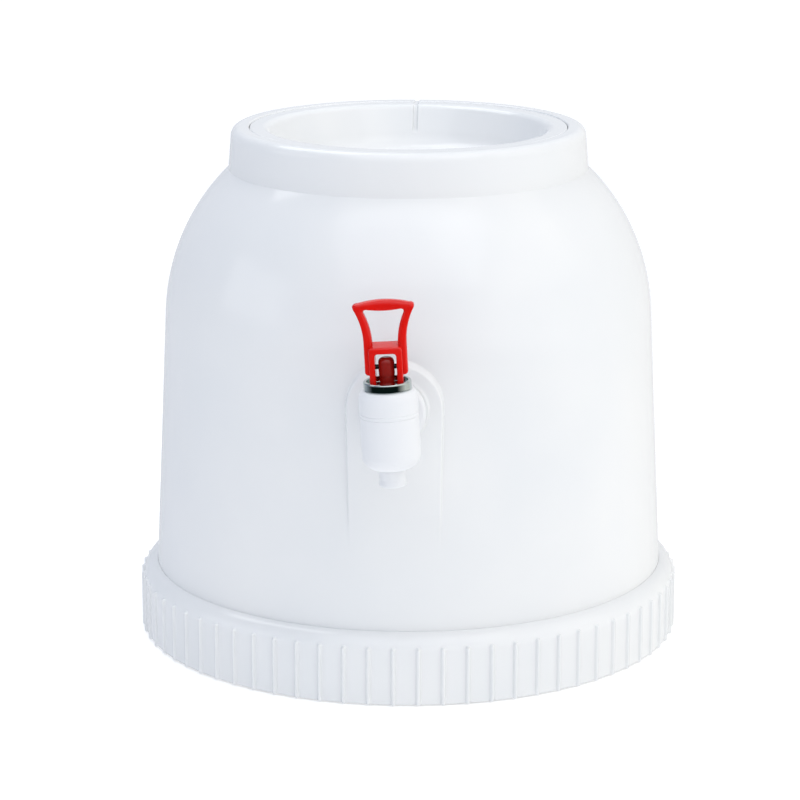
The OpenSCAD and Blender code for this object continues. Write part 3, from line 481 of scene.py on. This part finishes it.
FORK_W, FORK_D, FORK_GAP, FORK_TOP, FORK_RISE, FORK_WINDOW = 8.0, 5.0, 5.15, 10.0, 1.4, 6.9
HEEL, TOE, FORK_ROUND, WINDOW_ROUND = 5.0, 1.3, 1.4, 1.5
foot_z = RING_FLOOR + 0.3 - PIN_Z
leg_z = np.concatenate([foot_z + np.array([0, 0.12, 0.4, 0.9, 1.5]), np.linspace(-6, 4, 8)])
bend = np.linspace(0, np.pi / 2, 7)
outer_leg = np.concatenate([np.stack([np.full(len(leg_z), FORK_W), leg_z], 1),
                            np.stack([FORK_W - FORK_ROUND + FORK_ROUND * np.cos(bend),
                                      FORK_TOP - FORK_ROUND + FORK_ROUND * np.sin(bend)], 1),
                            np.stack([np.linspace(5, 0, 4), np.full(4, FORK_TOP)], 1)])
inner_leg = np.concatenate([np.stack([np.full(len(leg_z), FORK_GAP), leg_z], 1),
                            np.stack([FORK_GAP - WINDOW_ROUND + WINDOW_ROUND * np.cos(bend),
                                      FORK_WINDOW - WINDOW_ROUND + WINDOW_ROUND * np.sin(bend)], 1),
                            np.stack([np.linspace(3, 0, 4), np.full(4, FORK_WINDOW)], 1)])
up = np.concatenate([leg_z, np.full(len(outer_leg) - len(leg_z), FORK_TOP)]) - foot_z
front_y = TOE - FORK_D - np.sqrt(TOE ** 2 - np.clip(TOE - up, 0, None) ** 2)
back_y = FORK_D - HEEL + np.sqrt(HEEL ** 2 - np.clip(HEEL - up, 0, None) ** 2)
outer_fork = np.concatenate([outer_leg, outer_leg[-2::-1] * flip])
inner_fork = np.concatenate([inner_leg, inner_leg[-2::-1] * flip])
front_y, back_y = np.concatenate([front_y, front_y[-2::-1]]), np.concatenate([back_y, back_y[-2::-1]])
fork = bar(outer_fork, inner_fork, front_y, back_y, 0.9)
fork[..., 2] += FORK_RISE * (fork[..., 1] + FORK_D) / (2 * FORK_D) * step((fork[..., 2] - 7.5) / 2)
PIN_UP = np.array([0, 0, PIN_Z])
piece("lever_hoop_and_fork", [(in_tap(hoop + PIN_UP), False, True), (in_tap(fork + PIN_UP), False, True)],
      "lever", ["lever"], RED)

# Stage: a pale floor whose faint glow is painted light, stronger under the object and far off, so that it
# lights the base from below; soft boxes overhead, in front, at the right and behind at the left, and a weak
# low fill, in a pale room that is dimmer at the left and dark low in front.
scene = bpy.context.scene
scene.view_settings.view_transform = "Standard"
FLOOR = material("Pale floor", ("#F4F4F4", "#F6F6F6"), 400, (0.7, 0.8), 200, 5, 1, Emission_Strength=1.0)
tree = FLOOR.node_tree
away = add(tree, "VectorMath", Vector=tree.nodes["coords"].outputs["Object"])
away.operation = "LENGTH"
far = add(tree, "MapRange", Value=away.outputs["Value"], From_Max=3.0)
# Painted light: the floor's glow, by distance from the object, is brightest under it and far off and dimmer
# between; it lights the base from below and keeps the far floor white.
painted_floor_glow = tint(tree, far.outputs[0], (0.1, "#989898"), (0.25, "#747474"), (0.5, "#9A9A9A"), (0.95, "#BEBEBE"))
tree.links.new(painted_floor_glow, tree.nodes["Principled BSDF"].inputs["Emission Color"])
floor_mesh = bpy.data.meshes.new("floor")
floor_mesh.from_pydata([(-9, -9, 0), (9, -9, 0), (9, 9, 0), (-9, 9, 0)], [], [(0, 1, 2, 3)])
floor_mesh.materials.append(FLOOR)
floor = bpy.data.objects.new("floor", floor_mesh)
floor.visible_glossy = False
scene.collection.objects.link(floor)


def soft_box(name, azimuth, elevation, distance, width, height, power, colour):
    """Area light aimed at the body's middle; azimuth 0 is the camera's side and grows to its right."""
    a, e = np.radians(azimuth), np.radians(elevation)
    light = bpy.data.lights.new(name, "AREA")
    light.shape, light.size, light.size_y = "RECTANGLE", width, height
    light.energy, light.color = power, srgb(colour)[:3]
    made = bpy.data.objects.new(name, light)
    way = np.array([np.sin(a) * np.cos(e), -np.cos(a) * np.cos(e), np.sin(e)])
    made.location = np.array([0, 0, 0.15]) + distance * way
    made.rotation_euler = (np.pi / 2 - e, 0, a)
    scene.collection.objects.link(made)


soft_box("overhead", 0, 88, 2.0, 1.8, 1.8, 5, "#FDFCFA")
soft_box("front_box", 4, 55, 2.2, 2.6, 1.8, 11.7, "#FCFDFF")
soft_box("right_box", 70, 46, 1.9, 2.0, 1.8, 4.9, "#FFF6E8")
soft_box("left_box", -130, 61, 1.6, 1.0, 0.9, 6, "#FFFFFF")
soft_box("left_fill", -75, 15, 1.9, 1.2, 0.7, 1.8, "#FDFEFF")

world = bpy.data.worlds.new("White room")
world.use_nodes = True
tree = world.node_tree
tree.nodes.clear()
direction = add(tree, "TexCoord").outputs["Generated"]
sideways = add(tree, "VectorMath", Vector=direction)
sideways.operation = "DOT_PRODUCT"
sideways.inputs[1].default_value = (0.87, 0, -0.5)
aside = add(tree, "MapRange", Value=sideways.outputs["Value"], From_Min=-1.0)
walls = tint(tree, aside.outputs[0], (0.0, "#66718A"), (0.1, "#98A2B4"), (0.25, "#CACFDA"), (0.5, "#DEE1E7"),
             (0.9, "#FCFAF5"))
ahead = add(tree, "VectorMath", Vector=direction)
ahead.operation = "DOT_PRODUCT"
ahead.inputs[1].default_value = (0, -0.25, -1)
shade = add(tree, "MapRange", Value=ahead.outputs["Value"], From_Min=0.15, From_Max=0.35)
room = add(tree, "MixRGB", Fac=shade.outputs[0], Color1=walls, Color2=srgb("#121F1D"))
add(tree, "OutputWorld", Surface=add(tree, "Background", Color=room.outputs[0], Strength=0.97).outputs[0])
scene.world = world

# Camera: a long lens 1.5 m off, a little to the right and looking down on the bowl, with its frame shifted so
# that the object stands where it does in the photograph.
DISTANCE, HEIGHT, SWING, PITCH = 1.4983, 0.5075, np.radians(3.05), np.radians(75.555)
camera = bpy.data.cameras.new("camera")
camera.sensor_width, camera.lens, camera.shift_x, camera.clip_end = 36.0, 129.45, -0.0106, 50
eye = bpy.data.objects.new("camera", camera)
eye.location = (DISTANCE * np.sin(SWING), -DISTANCE * np.cos(SWING), HEIGHT)
eye.rotation_euler = (PITCH, 0, SWING)
scene.collection.objects.link(eye)
scene.camera = eye
